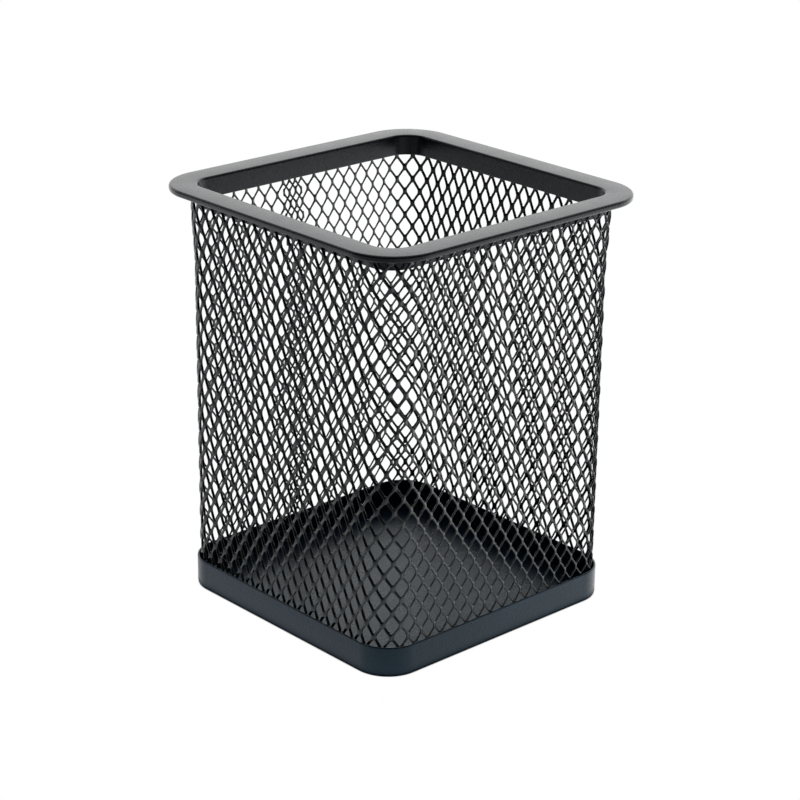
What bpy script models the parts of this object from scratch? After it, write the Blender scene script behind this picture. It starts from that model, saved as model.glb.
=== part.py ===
"""A square wire-mesh pen holder: a pressed base tray, an expanded-metal sleeve and a pressed top rim.

Units are metres and +Z is up. The origin is the centre of the base, on the surface it stands on.
The sleeve's foot stands inside the tray's skirt, and its mouth fits round the outside of the rim's
collar. All three follow the same rounded square, each at its own distance from the centre.
"""

import math

import bmesh
import bpy

MM = 0.001

# Driving dimensions. A half width is measured from the centre to the middle of one side.
HEIGHT = 100.0 * MM
SHEET = 0.5 * MM  # steel of the rim and the tray
CORNER_STEPS = 12  # facets round each upright corner
LEVEL = 0.05 * MM  # corners that differ by less than this are at one height

# Base tray: a flat floor with an upturned skirt.
TRAY_HALF = 36.6 * MM  # to the outside of the skirt
TRAY_CORNER = 8.7 * MM
SKIRT_HEIGHT = 7.2 * MM
TRAY_EDGE = 0.8 * MM  # bend between the floor and the skirt
TRAY_EDGE_STEPS = 4

# Mesh sleeve: its two faces are where the raised strands of the expanded metal reach.
SLEEVE_HALF = 35.55 * MM  # to the middle of the mesh
SLEEVE_CORNER = 7.6 * MM
SLEEVE_THICKNESS = 0.6 * MM
SLEEVE_BOTTOM = SHEET + 0.4 * MM
FLARE_BOTTOM = HEIGHT - 20.0 * MM  # the mouth widens from here to clear the rim's collar
FLARE = 0.65 * MM

# Top rim: a collar inside the sleeve, a flat flange over it and a hem folded under the outer edge.
COLLAR_HALF = 34.4 * MM  # to the inside of the collar
RIM_HALF = 41.0 * MM  # to the outside of the hem
RIM_CORNER_CENTRE = 28.9 * MM  # both ways from the cup's axis
COLLAR_DEPTH = 5.0 * MM
RIM_BEND = 0.7 * MM  # from the collar into the flange, on the upper side
HEM_HEIGHT = 1.5 * MM
HEM_RETURN = 1.8 * MM  # leg folded back under the flange
BEND_STEPS = 5

SLEEVE_TOP = HEIGHT - SHEET - 0.4 * MM

# Black satin powder coat: colour, roughness and metallic value of each piece.
COATS = {
    "top_rim": ((0.030, 0.031, 0.033, 1.0), 0.42, 0.0),
    "mesh_sleeve": ((0.012, 0.012, 0.013, 1.0), 0.45, 0.0),
    "base_tray": ((0.024, 0.027, 0.031, 1.0), 0.48, 0.0),
}


def clear_scene():
    for obj in list(bpy.data.objects):
        bpy.data.objects.remove(obj)


def new_collection(name, hidden=False):
    collection = bpy.data.collections.new(name)
    collection.hide_render = hidden
    bpy.context.scene.collection.children.link(collection)
    return collection


def coat_material(name):
    colour, roughness, metallic = COATS[name]
    material = bpy.data.materials.new(name + "_coat")
    material.use_nodes = True
    shader = material.node_tree.nodes["Principled BSDF"]
    shader.inputs["Base Color"].default_value = colour
    shader.inputs["Roughness"].default_value = roughness
    shader.inputs["Metallic"].default_value = metallic
    material.diffuse_color = colour
    return material


def add_part(name, data, collection):
    part = bpy.data.objects.new(name, data)
    data.materials.append(coat_material(name))
    collection.objects.link(part)
    return part


def edges_where(bm, test):
    return [edge for edge in bm.edges if all(test(vert.co) for vert in edge.verts)]


def rounded_box(half, corner, bottom, top):
    """A box with round upright corners, as a bmesh."""
    bm = bmesh.new()
    bmesh.ops.create_cube(bm, size=1.0)
    bmesh.ops.scale(bm, verts=bm.verts, vec=(2 * half, 2 * half, top - bottom))
    bmesh.ops.translate(bm, verts=bm.verts, vec=(0, 0, (bottom + top) / 2))
    upright = [e for e in bm.edges if abs(e.verts[0].co.z - e.verts[1].co.z) > LEVEL]
    bmesh.ops.bevel(bm, geom=upright, offset=corner, segments=CORNER_STEPS, profile=0.5, affect="EDGES")
    return bm


def drop_flat_faces(bm, *heights):
    """Opens a box at each of these heights."""
    lids = [
        face
        for face in bm.faces
        if any(all(abs(vert.co.z - z) < LEVEL for vert in face.verts) for z in heights)
    ]
    bmesh.ops.delete(bm, geom=lids, context="FACES")


def raise_top_edge(bm, height, widening):
    """Extrudes the open top edge up to this height, and moves it out by this much on each side."""
    top = max(vert.co.z for vert in bm.verts)
    loop = edges_where(bm, lambda co: abs(co.z - top) < LEVEL)
    raised = bmesh.ops.extrude_edge_only(bm, edges=loop)["geom"]
    corners = [item for item in raised if isinstance(item, bmesh.types.BMVert)]
    reach = max(vert.co.x for vert in corners)
    scale = (reach + widening) / reach
    for vert in corners:
        vert.co = (vert.co.x * scale, vert.co.y * scale, height)


def mesh_from(bm, name):
    bmesh.ops.recalc_face_normals(bm, faces=bm.faces)
    mesh = bpy.data.meshes.new(name)
    bm.to_mesh(mesh)
    bm.free()
    mesh.shade_smooth()
    mesh.set_sharp_from_angle(angle=math.radians(35))
    return mesh


def thicken(part, thickness, offset):
    solidify = part.modifiers.new("sheet", "SOLIDIFY")
    solidify.thickness = thickness
    solidify.offset = offset
    solidify.use_even_offset = True


def base_tray(collection):
    """The outside of the tray, thickened inwards."""
    bm = rounded_box(TRAY_HALF, TRAY_CORNER, 0.0, SKIRT_HEIGHT)
    drop_flat_faces(bm, SKIRT_HEIGHT)
    foot = edges_where(bm, lambda co: abs(co.z) < LEVEL)
    bmesh.ops.bevel(
        bm, geom=foot, offset=TRAY_EDGE, segments=TRAY_EDGE_STEPS, profile=0.5, affect="EDGES"
    )
    tray = add_part("base_tray", mesh_from(bm, "base_tray"), collection)
    thicken(tray, SHEET, -1.0)


def mesh_sleeve(collection):
    """The middle of the mesh, thickened both ways. It runs straight up, then widens round the collar."""
    bm = rounded_box(SLEEVE_HALF, SLEEVE_CORNER, SLEEVE_BOTTOM, FLARE_BOTTOM)
    drop_flat_faces(bm, SLEEVE_BOTTOM, FLARE_BOTTOM)
    raise_top_edge(bm, HEIGHT - COLLAR_DEPTH, FLARE)
    raise_top_edge(bm, SLEEVE_TOP, 0.0)
    sleeve = add_part("mesh_sleeve", mesh_from(bm, "mesh_sleeve"), collection)
    thicken(sleeve, SLEEVE_THICKNESS, 0.0)


def arc(centre, radius, start, end, steps):
    """Points on an arc, from one angle to another in degrees."""
    angles = [math.radians(start + (end - start) * i / steps) for i in range(steps + 1)]
    return [(centre[0] + radius * math.cos(a), centre[1] + radius * math.sin(a)) for a in angles]


def rim_section():
    """The rim's cross-section, outward from the collar's inside face along -X and upward along +Y."""
    collar_foot = HEIGHT - COLLAR_DEPTH
    bend = (RIM_BEND, HEIGHT - RIM_BEND)
    hem = (RIM_HALF - COLLAR_HALF - HEM_HEIGHT / 2, HEIGHT - HEM_HEIGHT / 2)
    leg_end = hem[0] - HEM_RETURN
    inner_hem = HEM_HEIGHT / 2 - SHEET
    upper = arc(bend, RIM_BEND, 180, 90, BEND_STEPS) + arc(hem, HEM_HEIGHT / 2, 90, -90, 2 * BEND_STEPS)
    leg = [(leg_end, HEIGHT - HEM_HEIGHT), (leg_end, HEIGHT - HEM_HEIGHT + SHEET)]
    lower = arc(hem, inner_hem, -90, 90, BEND_STEPS) + arc(bend, RIM_BEND - SHEET, 90, 180, BEND_STEPS)
    outline = upper + leg + lower + [(SHEET, collar_foot), (0.0, collar_foot)]
    return [(-outward, up) for outward, up in reversed(outline)]


def rounded_square(half, centre):
    """Points round a square with round corners, counter-clockwise from above."""
    radius = half - centre
    quarters = ((1, 1, 0), (-1, 1, 90), (-1, -1, 180), (1, -1, 270))
    points = []
    for x, y, start in quarters:
        points += arc((x * centre, y * centre), radius, start, start + 90, CORNER_STEPS)
    return points


def closed_curve(name, points, collection):
    """A flat closed outline as a curve object."""
    curve = bpy.data.curves.new(name, "CURVE")
    curve.dimensions = "2D"
    curve.fill_mode = "NONE"
    spline = curve.splines.new("POLY")
    spline.points.add(len(points) - 1)
    for point, (x, y) in zip(spline.points, points):
        point.co = (x, y, 0.0, 1.0)
    spline.use_cyclic_u = True
    outline = bpy.data.objects.new(name, curve)
    collection.objects.link(outline)
    return outline


def top_rim(collection, guides):
    """The section carried round the inside of the collar."""
    section = closed_curve("rim_section", rim_section(), guides)
    section.hide_render = True
    section.display_type = "WIRE"
    rim = closed_curve("top_rim", rounded_square(COLLAR_HALF, RIM_CORNER_CENTRE), collection)
    rim.data.bevel_mode = "OBJECT"
    rim.data.bevel_object = section
    rim.data.materials.append(coat_material("top_rim"))


def main():
    clear_scene()
    parts = new_collection("pen_holder")
    guides = new_collection("pen_holder_guides", hidden=True)
    base_tray(parts)
    mesh_sleeve(parts)
    top_rim(parts, guides)


main()
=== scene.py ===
"""Looks of the pen holder cup: a hemmed rim, an expanded-metal sleeve and a pressed tray.

All three are powder coated black. Everything is in metres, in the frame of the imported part: z is up,
the cup stands on z = 0 and its axis is x = y = 0.
"""

import math

import bmesh
import bpy
import numpy as np
from mathutils import Matrix, Vector


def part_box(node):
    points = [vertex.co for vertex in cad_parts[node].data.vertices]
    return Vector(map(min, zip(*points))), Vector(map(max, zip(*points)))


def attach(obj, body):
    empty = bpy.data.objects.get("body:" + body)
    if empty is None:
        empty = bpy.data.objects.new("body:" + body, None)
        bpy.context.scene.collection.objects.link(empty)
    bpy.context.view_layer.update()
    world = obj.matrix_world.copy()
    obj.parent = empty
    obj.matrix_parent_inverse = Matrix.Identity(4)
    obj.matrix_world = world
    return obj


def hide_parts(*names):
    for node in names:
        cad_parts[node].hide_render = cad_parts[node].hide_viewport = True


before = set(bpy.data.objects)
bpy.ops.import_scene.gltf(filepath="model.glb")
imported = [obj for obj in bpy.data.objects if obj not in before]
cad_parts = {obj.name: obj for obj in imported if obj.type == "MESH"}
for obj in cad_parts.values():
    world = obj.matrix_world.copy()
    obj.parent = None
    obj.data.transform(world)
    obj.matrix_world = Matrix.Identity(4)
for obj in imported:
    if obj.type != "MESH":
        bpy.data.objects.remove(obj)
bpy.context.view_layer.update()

MM = 0.001
SHEET = 0.5 * MM  # thickness of the pressed steel sheet, with its coat
EDGE_ANGLES = np.radians([36, 72, 108, 144])  # round a cut edge of the sheet
CORNER_STEPS = 24
BEND_STEPS = 8
SHARP_ANGLE = math.radians(80)

rim_low, rim_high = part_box("top_rim")
sleeve_low, sleeve_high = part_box("mesh_sleeve")
tray_low, tray_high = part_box("base_tray")

RIM_HALF = rim_high.x
RIM_CORNER_CENTRE = 28.9 * MM
COLLAR_HALF = 34.4 * MM  # inside face of the collar
COLLAR_BEND = 0.55 * MM
HEM_HEIGHT = 1.5 * MM
HEM_BEND = 0.55 * MM
HEM_RETURN = 1.9 * MM

TRAY_HALF = tray_high.x
TRAY_CORNER_CENTRE = 27.9 * MM
TRAY_BEND = 0.7 * MM
FLOOR_RING = 4 * MM  # from the skirt to the ring where the flat floor is closed

# The expanded metal. Across and up are measured on the flat sheet, before it is bent round.
SLEEVE_HALF = 35.5 * MM  # to the middle of the strands' depth, below the flare
SLEEVE_CORNER = 7.6 * MM
FLARE = 0.65 * MM
FLARE_START = 80 * MM
FLARE_END = 95 * MM
COLUMNS_ROUND = 143.36  # not a whole number, so that the two layers of the lap don't line up
LAP_COLUMNS = 3
LAP_START = 2.2 * MM  # from the middle of the wall at +y
PHASE = 1.3 * MM
LAP_DEPTH = 0.74 * MM  # between the two layers
LAP_INSIDE = 0.55 * MM  # how far the inner layer is pushed in below the flare
LAP_INSIDE_FLARED = 0.1 * MM  # and within the flare
LAP_RAMP = 5 * MM
ROW = 3.0325 * MM  # from a bond to the next one up, half a diamond higher
ROWS = 33
FIRST_BOND = 0.32 * MM  # height of the lowest row of bonds
OPENED = 0.0915  # how much wider the diamonds are at the front corner, where the sheet was bent first
OPENED_REACH = 59 * MM
LEAN = 0.0135  # of the columns, anticlockwise as they rise
ROW_WAVE = 0.38 * MM
STRAND_WIDTH = 0.54 * MM
STRAND_THICKNESS = 0.36 * MM
STRAND_TILT = math.radians(-33)
STRAND_SLOPE = math.radians(33)  # away from the vertical
STRAND_EDGE = 0.07 * MM  # how far the coat rounds each edge
TIP_RADIUS = 0.42 * MM
SIDE_RADIUS = 1.2 * MM
TIP_STEPS = 3
SIDE_STEPS = 2
SIDES = 8  # of a strand's section
SHEET_PIECES = 4
JOIN_DECIMALS = 4  # of a millimetre, to which points that are one agree
CUT_SNAP = 0.001 * MM  # a point this close to a level cut lies on it, so the cut leaves no sliver

PERIMETER = 8 * (SLEEVE_HALF - SLEEVE_CORNER) + 2 * math.pi * SLEEVE_CORNER
FRONT_CORNER = PERIMETER * 3 / 8 + LAP_START
RIGHT_WALL = PERIMETER * 6 / 8 + LAP_START
COLUMN = (PERIMETER - OPENED * OPENED_REACH) / COLUMNS_ROUND  # from one column of bonds to the next
COLUMNS = round(COLUMNS_ROUND + LAP_COLUMNS)

# The photographer's place.
AZIMUTH = math.radians(-42.633)
ELEVATION = math.radians(21.095)
TO_CAMERA = (math.sin(AZIMUTH), -math.cos(AZIMUTH), 0)  # level directions
RIGHTWARD = (math.cos(AZIMUTH), math.sin(AZIMUTH), 0)
UPWARD = (0, 0, 1)
ROLL = math.radians(0.71)
DISTANCE = 551.9 * MM
TARGET = Vector((0.35, -0.32, 47.95)) * MM
FOCAL_PIXELS = 2341.8
FRAME_PIXELS = 800
SENSOR_MM = 36
NEAREST_SEEN = 10 * MM

# The coats.
SHADE_SIZE = 12 * MM  # of the slow changes of shade
SHADE_CHANGE = 0.2  # a share of the colour, either way
SHADE_BETWEEN = (0.3, 0.7)  # levels of the noise
GLOSS_SIZE = 5 * MM
GLOSS_CHANGE = 0.06  # of the roughness, either way

# The light table.
FLOOR_HALF = 6.0
FLOOR_DROP = 0.02 * MM  # below the cup's foot
CONTACT_REACH = 2 * MM  # of the shadow at the cup's foot


# ---- shapes ----


def shape_of(points, faces):
    """The points and faces as one editable shape."""
    mesh = bpy.data.meshes.new("shape")
    mesh.from_pydata([tuple(point) for point in points], [], faces)
    shape = bmesh.new()
    shape.from_mesh(mesh)
    bpy.data.meshes.remove(mesh)
    return shape


def mesh_object(name, shape):
    """A smooth-shaded mesh object whose square edges stay sharp."""
    mesh = bpy.data.meshes.new(name)
    shape.to_mesh(mesh)
    shape.free()
    mesh.polygons.foreach_set("use_smooth", [True] * len(mesh.polygons))
    mesh.set_sharp_from_angle(angle=SHARP_ANGLE)
    piece = bpy.data.objects.new(name, mesh)
    bpy.context.scene.collection.objects.link(piece)
    return piece


def arc(centre, radius, start, end, steps):
    """Points (outward, up) on an arc, from the angle start to end in degrees."""
    angles = np.radians(np.linspace(start, end, steps + 1))
    return [(centre[0] + radius * math.cos(a), centre[1] + radius * math.sin(a)) for a in angles]


def sheet_sides(line):
    """The two faces of a bent sheet whose middle follows line, the left one first, and its direction."""
    line = np.array(line)
    ahead = np.gradient(line, axis=0)
    ahead /= np.linalg.norm(ahead, axis=1)[:, None]
    left = np.stack([-ahead[:, 1], ahead[:, 0]], axis=1)
    return line + left * SHEET / 2, line - left * SHEET / 2, ahead


def cut_edge(first, last, ahead):
    """Points of a rounded edge from the side point first to the side point last."""
    middle, half = (first + last) / 2, (first - last) / 2
    return [middle + half * math.cos(a) + ahead * SHEET / 2 * math.sin(a) for a in EDGE_ANGLES]


def swept_round(section, corner_centre, closed=True):
    """Points and faces of a section (outward, up) swept anticlockwise round a rounded square."""
    points = []
    for quarter in range(4):
        corner = math.radians(90 * quarter + 45)
        centre = Vector((math.cos(corner), math.sin(corner))) * corner_centre * math.sqrt(2)
        for step in range(CORNER_STEPS + 1):
            angle = math.radians(90) * (quarter + step / CORNER_STEPS)
            for reach, height in section:
                flat = centre + Vector((math.cos(angle), math.sin(angle))) * (reach - corner_centre)
                points.append((flat.x, flat.y, height))
    around = len(section)
    faces = []
    for ring in range(0, len(points), around):
        after = (ring + around) % len(points)
        for i in range(around if closed else around - 1):
            j = (i + 1) % around
            faces.append((ring + i, ring + j, after + j, after + i))
    return points, faces


def make_rim():
    """A collar, a flat flange and a hem that is rolled under the flange's edge."""
    top = rim_high.z - SHEET / 2
    collar = COLLAR_HALF + SHEET / 2
    bend = COLLAR_BEND - SHEET / 2
    hem = HEM_BEND - SHEET / 2
    fold = RIM_HALF - HEM_BEND
    leg = rim_high.z - HEM_HEIGHT + SHEET / 2
    line = [(collar, rim_low.z + SHEET / 2), (collar, rim_low.z + SHEET)]
    line += arc((collar + bend, top - bend), bend, 180, 90, BEND_STEPS)
    line += arc((fold, top - hem), hem, 90, 0, BEND_STEPS)
    line += arc((fold, leg + hem), hem, 0, -90, BEND_STEPS)
    line += [(RIM_HALF - HEM_RETURN + SHEET / 2, leg)]
    left, right, ahead = sheet_sides(line)
    section = [*left, *cut_edge(left[-1], right[-1], ahead[-1])]
    section += [*right[::-1], *cut_edge(right[0], left[0], -ahead[0])]
    points, faces = swept_round(section, RIM_CORNER_CENTRE)
    return mesh_object("rim", shape_of(points, faces))


def make_tray():
    """A flat floor with a skirt bent up round it."""
    wall = TRAY_HALF - SHEET / 2
    floor = tray_low.z + SHEET / 2
    bend = TRAY_BEND - SHEET / 2
    line = [(wall - FLOOR_RING, floor)]
    line += arc((wall - bend, floor + bend), bend, -90, 0, BEND_STEPS)
    line += [(wall, tray_high.z - SHEET), (wall, tray_high.z - SHEET / 2)]
    left, right, ahead = sheet_sides(line)
    section = [*left, *cut_edge(left[-1], right[-1], ahead[-1]), *right[::-1]]
    points, faces = swept_round(section, TRAY_CORNER_CENTRE, closed=False)
    rings = range(0, len(points), len(section))
    faces.append(list(rings))
    faces.append([ring + len(section) - 1 for ring in rings][::-1])
    return mesh_object("tray", shape_of(points, faces))


# ---- expanded metal ----


def hole_side(grow):
    """A quarter of a hole's outline from its lower tip to its widest point, moved into the metal by grow.

    Points (across, up) are measured from the middle of the bond below the hole.
    """
    slant, rise = math.cos(STRAND_SLOPE), math.sin(STRAND_SLOPE)
    half_strand = STRAND_WIDTH * math.cos(STRAND_TILT) / 2
    widest = COLUMN - 2 * half_strand
    tip = ROW / 2 + (half_strand + TIP_RADIUS - COLUMN / 2 * slant) / rise
    side = widest - SIDE_RADIUS
    side_up = ROW / 2 + (half_strand + SIDE_RADIUS + (side - COLUMN / 2) * slant) / rise
    slope = -math.degrees(STRAND_SLOPE)
    points = arc((0, tip), TIP_RADIUS + grow, -90, slope, TIP_STEPS)
    points += arc((side, side_up), SIDE_RADIUS + grow, slope, 0, SIDE_STEPS)
    return np.array([(0, 0), *points, (widest + grow, ROW)])


def smooth(share):
    """Smooth step from 0 to 1."""
    share = np.clip(share, 0, 1)
    return share * share * (3 - 2 * share)


def strand():
    """Sections of a strand that climbs from one bond to the next one on its right.

    Each has eight points (across, up, out), clockwise as seen from above: from the upper left of the
    face round to the upper point of the left edge.
    """
    edge, face = hole_side(0), hole_side(STRAND_EDGE)
    corner = np.array([COLUMN, ROW])
    depth, lean = STRAND_WIDTH * math.sin(STRAND_TILT), math.tan(STRAND_TILT)
    middle = (edge + corner - edge[::-1])[:, 1] / 2
    crossed = smooth((middle - middle[1]) / (middle[-2] - middle[1]))

    def with_depth(flat, edge_across, out):
        return np.column_stack([flat, out + lean * (flat[:, 0] - edge_across)])

    left_out, right_out = -depth * crossed, depth * (1 - crossed)
    left_edge = with_depth(edge, edge[:, 0], left_out)
    left_face = with_depth(face, edge[:, 0], left_out)
    right_edge = with_depth(corner - edge[::-1], corner[0] - edge[::-1, 0], right_out)
    right_face = with_depth(corner - face[::-1], corner[0] - edge[::-1, 0], right_out)
    along = np.gradient((left_edge + right_edge) / 2, axis=0)
    normal = np.cross(right_edge - left_edge, along)
    normal[[0, 1, -2, -1]] = (-math.sin(STRAND_TILT), 0, math.cos(STRAND_TILT))
    normal /= np.linalg.norm(normal, axis=1)[:, None]
    half, flat = normal * STRAND_THICKNESS / 2, normal * (STRAND_THICKNESS / 2 - STRAND_EDGE)
    outside = (left_face + half, right_face + half, right_edge + flat, right_edge - flat)
    inside = (right_face - half, left_face - half, left_edge - flat, left_edge + flat)
    return np.stack(outside + inside, axis=1)


def ribbon(column, climbing, is_first, is_last):
    """Points and faces of one strand from the bottom of the sheet to its top."""
    falling = climbing[::-1] * (1, -1, 1) + (0, ROW, 0)
    steps = len(climbing) - 1
    sections = []
    faces = []
    for row in range(ROWS):
        goes_right = (column + row) % 2 == 0
        shape = climbing if goes_right else falling
        sections.append(shape[:-1] + (column * COLUMN, row * ROW, 0))
        bonded_left = 0 if goes_right else steps - 1
        for step in range(steps):
            here = (row * steps + step) * SIDES
            open_left = is_first or step != bonded_left
            open_right = is_last or step != steps - 1 - bonded_left
            for side in [0, 4] + [1, 2, 3] * open_right + [5, 6, 7] * open_left:
                turn = (side + 1) % SIDES
                faces.append((here + side, here + turn, here + SIDES + turn, here + SIDES + side))
    sections.append(shape[-1:] + (column * COLUMN, (ROWS - 1) * ROW, 0))
    ends = ((0, column % 2 == 0), (ROWS * steps * SIDES, (column + ROWS) % 2 == 0))
    for end, goes_right in ends:
        hidden = set()
        if goes_right and not is_first:
            hidden = {6, 7}
        elif not goes_right and not is_last:
            hidden = {2, 3}
        cap = [end + i for i in range(SIDES) if i not in hidden]
        faces.append(cap[::-1] if end == 0 else cap)
    return np.concatenate(sections).reshape(-1, 3), faces


def joined(points, faces):
    """The same mesh with the points that lie on each other made one, and the unused points dropped."""
    used = sorted({i for face in faces for i in face})
    places = np.round(points[used] / MM, JOIN_DECIMALS)
    _, first, place = np.unique(places, axis=0, return_index=True, return_inverse=True)
    number = dict(zip(used, place.reshape(-1).tolist()))
    return points[used][first], [tuple(number[i] for i in face) for face in faces]


def uneven(flat):
    """The sheet's points moved to where uneven diamonds lie: wider at the front, leaning, in waves."""
    across, up, out = flat.T
    corner = FRONT_CORNER - OPENED * OPENED_REACH / 2
    span = np.clip((across - corner) / OPENED_REACH, -1, 1)
    across = across + OPENED * OPENED_REACH / 2 * (1 + span + np.sin(math.pi * span) / math.pi)
    wave = np.cos((across - RIGHT_WALL) / PERIMETER * 2 * math.pi)
    up = up + FIRST_BOND + ROW_WAVE * wave
    return np.column_stack([across + LEAN * (up - FLARE_START) + PHASE, up, out])


def trimmed(points, faces):
    """The sheet cut off level at its top and its bottom."""
    sheet = shape_of(points, faces)
    for height, side in ((sleeve_low.z, -1), (sleeve_high.z, 1)):
        parts = [*sheet.verts, *sheet.edges, *sheet.faces]
        cut = bmesh.ops.bisect_plane(
            sheet,
            geom=parts,
            dist=CUT_SNAP,
            plane_co=(0, height, 0),
            plane_no=(0, side, 0),
            clear_outer=True,
        )
        rim = [part for part in cut["geom_cut"] if isinstance(part, bmesh.types.BMEdge)]
        bmesh.ops.edgeloop_fill(sheet, edges=rim)
    return sheet


def bent_round(flat):
    """Points of the flat sheet, bent round the sleeve's rounded square, with its flare and its lap."""
    across, up, out = flat.T
    flared = smooth((up - FLARE_START) / (FLARE_END - FLARE_START))
    lap = LAP_COLUMNS * COLUMN
    inner = smooth((lap + LAP_RAMP - across) / LAP_RAMP)
    outer = smooth((across - PERIMETER + LAP_RAMP) / LAP_RAMP)
    pushed = -LAP_INSIDE * (1 - flared) - LAP_INSIDE_FLARED * flared
    out = out + FLARE * flared + pushed * inner + (pushed + LAP_DEPTH) * outer
    straight = SLEEVE_HALF - SLEEVE_CORNER
    side = 2 * straight + math.radians(90) * SLEEVE_CORNER
    travelled = across - LAP_START + straight
    wall = np.floor(travelled / side)
    travelled = travelled - wall * side
    turned = np.maximum(travelled - 2 * straight, 0) / SLEEVE_CORNER
    x = straight - np.minimum(travelled, 2 * straight) - (SLEEVE_CORNER + out) * np.sin(turned)
    y = straight + (SLEEVE_CORNER + out) * np.cos(turned)
    turn = np.radians(90) * wall
    cosine, sine = np.cos(turn), np.sin(turn)
    return np.column_stack([x * cosine - y * sine, x * sine + y * cosine, up])


def make_mesh():
    """The sleeve of expanded metal, in pieces that each keep to a moderate number of faces."""
    climbing = strand()
    pieces = []
    for number in range(SHEET_PIECES):
        first, after = (round(COLUMNS * cut / SHEET_PIECES) for cut in (number, number + 1))
        columns = range(first, after)
        points, faces, count = [], [], 0
        for column in columns:
            more, walls = ribbon(column, climbing, column == columns[0], column == columns[-1])
            points.append(more)
            faces += [tuple(count + i for i in wall) for wall in walls]
            count += len(more)
        sheet = trimmed(*joined(uneven(np.concatenate(points)), faces))
        flat = np.array([vertex.co for vertex in sheet.verts])
        for vertex, place in zip(sheet.verts, bent_round(flat)):
            vertex.co = place
        pieces.append(mesh_object(f"mesh_{number + 1}", sheet))
    return pieces


# ---- materials ----


def powder_coat(name, colour, roughness, specular, tint, grain, grain_depth):
    """Satin powder coat: orange peel of the given grain size, and slow changes of shade and gloss."""
    material = bpy.data.materials.new(name)
    material.use_nodes = True
    nodes, links = material.node_tree.nodes, material.node_tree.links
    shader = nodes["Principled BSDF"]
    shader.inputs["Specular IOR Level"].default_value = specular
    shader.inputs["Specular Tint"].default_value = (*tint, 1)
    place = nodes.new("ShaderNodeTexCoord").outputs["Object"]

    def noise(size, detail):
        node = nodes.new("ShaderNodeTexNoise")
        node.inputs["Scale"].default_value = 1 / size
        node.inputs["Detail"].default_value = detail
        links.new(place, node.inputs["Vector"])
        return node.outputs["Fac"]

    shade = nodes.new("ShaderNodeValToRGB")
    levels = (1 - SHADE_CHANGE, 1 + SHADE_CHANGE)
    for element, position, level in zip(shade.color_ramp.elements, SHADE_BETWEEN, levels):
        element.position = position
        element.color = (*(c * level for c in colour), 1)
    links.new(noise(SHADE_SIZE, detail=3), shade.inputs["Fac"])
    links.new(shade.outputs["Color"], shader.inputs["Base Color"])
    gloss = nodes.new("ShaderNodeMapRange")
    gloss.inputs["To Min"].default_value = roughness - GLOSS_CHANGE
    gloss.inputs["To Max"].default_value = roughness + GLOSS_CHANGE
    links.new(noise(GLOSS_SIZE, detail=4), gloss.inputs["Value"])
    links.new(gloss.outputs["Result"], shader.inputs["Roughness"])
    bump = nodes.new("ShaderNodeBump")
    bump.inputs["Strength"].default_value = 1
    bump.inputs["Distance"].default_value = grain_depth
    links.new(noise(grain, detail=2), bump.inputs["Height"])
    links.new(bump.outputs["Normal"], shader.inputs["Normal"])
    return material


def make_rim_coat():
    return powder_coat(
        "rim_coat",
        colour=(0.002, 0.004, 0.007),
        roughness=0.27,
        specular=0.3,
        tint=(0.9, 0.96, 1),
        grain=0.5 * MM,
        grain_depth=0.05 * MM,
    )


def make_mesh_coat():
    return powder_coat(
        "mesh_coat",
        colour=(0.0002, 0.0005, 0.001),
        roughness=0.18,
        specular=0.5,
        tint=(0.88, 0.95, 1),
        grain=0.3 * MM,
        grain_depth=0.01 * MM,
    )


def make_tray_coat():
    return powder_coat(
        "tray_coat",
        colour=(0.002, 0.009, 0.020),
        roughness=0.28,
        specular=0.3,
        tint=(0.62, 0.87, 1),
        grain=0.5 * MM,
        grain_depth=0.08 * MM,
    )


# ---- stage ----


def light_level(nodes, links, place, direction, between, levels):
    """A level that changes smoothly as the place moves in a direction, between two distances."""
    reach = nodes.new("ShaderNodeVectorMath")
    reach.operation = "DOT_PRODUCT"
    reach.inputs[1].default_value = direction
    links.new(place, reach.inputs[0])
    ramp = nodes.new("ShaderNodeMapRange")
    ramp.interpolation_type = "SMOOTHSTEP"
    ramp.inputs["From Min"].default_value, ramp.inputs["From Max"].default_value = between
    ramp.inputs["To Min"].default_value, ramp.inputs["To Max"].default_value = levels
    links.new(reach.outputs["Value"], ramp.inputs["Value"])
    return ramp.outputs["Result"]


def product(nodes, links, levels):
    """The levels multiplied together."""
    light = levels[0]
    for level in levels[1:]:
        node = nodes.new("ShaderNodeMath")
        node.operation = "MULTIPLY"
        links.new(light, node.inputs[0])
        links.new(level, node.inputs[1])
        light = node.outputs["Value"]
    return light


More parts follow.
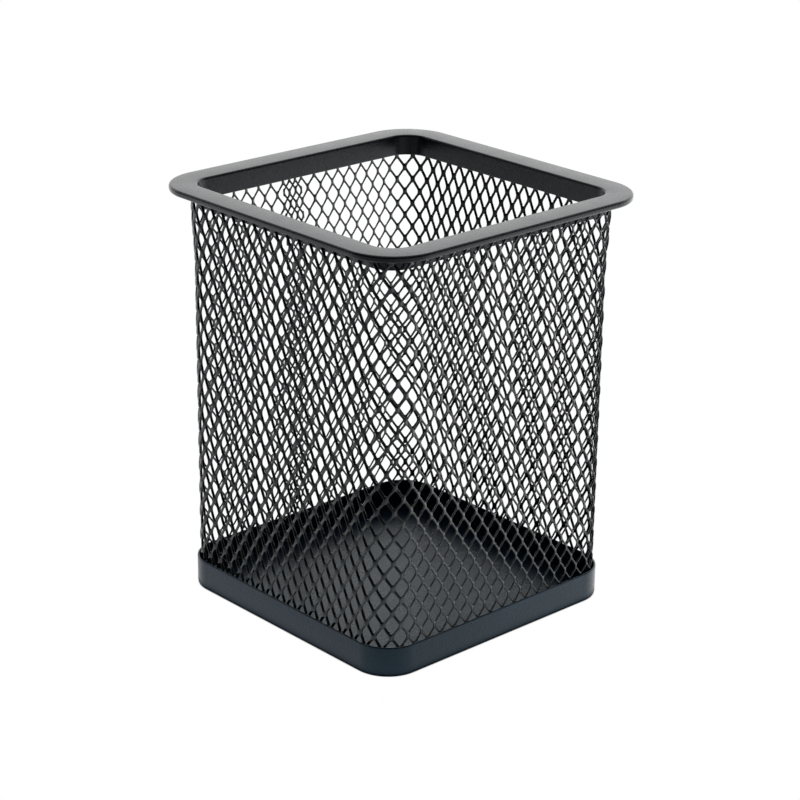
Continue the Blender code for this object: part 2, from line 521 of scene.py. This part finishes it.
def make_floor():
    """A plain white light table.

    What it throws on the cup is strongest to the right and the far left of the picture, and fades
    towards the camera and close to the cup's foot.
    """
    mesh = bpy.data.meshes.new("floor")
    corners = [(x * FLOOR_HALF, y * FLOOR_HALF, 0) for x, y in ((-1, -1), (1, -1), (1, 1), (-1, 1))]
    mesh.from_pydata(corners, [], [(0, 1, 2, 3)])
    floor = bpy.data.objects.new("floor", mesh)
    bpy.context.scene.collection.objects.link(floor)
    floor.location.z = -FLOOR_DROP
    material = bpy.data.materials.new("light_table")
    material.use_nodes = True
    nodes, links = material.node_tree.nodes, material.node_tree.links
    shader = nodes["Principled BSDF"]
    shader.inputs["Base Color"].default_value = (0, 0, 0, 1)
    shader.inputs["Roughness"].default_value = 1
    shader.inputs["Specular IOR Level"].default_value = 0
    shader.inputs["Emission Color"].default_value = (1, 1, 1, 1)
    place = nodes.new("ShaderNodeTexCoord").outputs["Object"]
    contact = nodes.new("ShaderNodeAmbientOcclusion")
    contact.inputs["Distance"].default_value = CONTACT_REACH

    def shadow(dark, clear):
        """A level from 0, where the table's openness is dark, to 1, where it is clear."""
        node = nodes.new("ShaderNodeMapRange")
        node.inputs["From Min"].default_value = dark
        node.inputs["From Max"].default_value = clear
        links.new(contact.outputs["AO"], node.inputs["Value"])
        return node.outputs["Result"]

    right = light_level(nodes, links, place, RIGHTWARD, between=(-70 * MM, 250 * MM), levels=(1, 2.4))
    left = light_level(nodes, links, place, RIGHTWARD, between=(-280 * MM, -70 * MM), levels=(1.5, 1))
    before = light_level(nodes, links, place, TO_CAMERA, between=(0, 160 * MM), levels=(1, 0.4))
    by_camera = nodes.new("ShaderNodeLightPath").outputs["Is Camera Ray"]
    seen = nodes.new("ShaderNodeMix")
    links.new(by_camera, seen.inputs["Factor"])
    links.new(product(nodes, links, (right, left, before, shadow(dark=0.5, clear=1))), seen.inputs["A"])
    links.new(shadow(dark=0.3, clear=0.55), seen.inputs["B"])
    links.new(seen.outputs["Result"], shader.inputs["Emission Strength"])
    mesh.materials.append(material)


def make_sky():
    """A white studio behind the cup and a softer light overhead, dark on the photographer's side."""
    world = bpy.data.worlds.new("studio")
    bpy.context.scene.world = world
    world.use_nodes = True
    nodes, links = world.node_tree.nodes, world.node_tree.links
    place = nodes.new("ShaderNodeTexCoord").outputs["Generated"]
    behind = light_level(nodes, links, place, TO_CAMERA, between=(-0.75, 0.1), levels=(1.8, 0.04))
    below_top = light_level(nodes, links, place, UPWARD, between=(0.45, 0.95), levels=(1, 0.15))
    beside = light_level(nodes, links, place, RIGHTWARD, between=(-1, 1), levels=(0.75, 1.25))
    overhead = light_level(nodes, links, place, UPWARD, between=(0.8, 0.95), levels=(0, 0.8))
    light = nodes.new("ShaderNodeMath")
    light.operation = "ADD"
    links.new(product(nodes, links, (behind, below_top, beside)), light.inputs[0])
    links.new(overhead, light.inputs[1])
    links.new(light.outputs["Value"], nodes["Background"].inputs["Strength"])
    nodes["Background"].inputs["Color"].default_value = (1, 1, 1, 1)


def make_camera():
    """The camera where the photographer stood."""
    level, height = math.cos(ELEVATION), math.sin(ELEVATION)
    back = Vector((math.sin(AZIMUTH) * level, -math.cos(AZIMUTH) * level, height))
    right = (-back).cross(Vector(UPWARD)).normalized()
    up = right.cross(-back)
    right, up = (
        right * math.cos(ROLL) + up * math.sin(ROLL),
        up * math.cos(ROLL) - right * math.sin(ROLL),
    )
    data = bpy.data.cameras.new("camera")
    data.sensor_width = SENSOR_MM
    data.lens = FOCAL_PIXELS / FRAME_PIXELS * SENSOR_MM
    data.clip_start = NEAREST_SEEN
    camera = bpy.data.objects.new("camera", data)
    bpy.context.scene.collection.objects.link(camera)
    turned = Matrix((right, up, back)).transposed().to_4x4()
    camera.matrix_world = Matrix.Translation(TARGET + back * DISTANCE) @ turned
    bpy.context.scene.camera = camera


def finish_piece(piece, node, material):
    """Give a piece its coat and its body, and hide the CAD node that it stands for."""
    piece.data.materials.append(material)
    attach(piece, "root")
    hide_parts(node)


make_floor()
make_sky()
make_camera()
bpy.context.scene.view_settings.view_transform = "Standard"

finish_piece(make_rim(), "top_rim", make_rim_coat())
finish_piece(make_tray(), "base_tray", make_tray_coat())
mesh_coat = make_mesh_coat()
for mesh_piece in make_mesh():
    finish_piece(mesh_piece, "mesh_sleeve", mesh_coat)
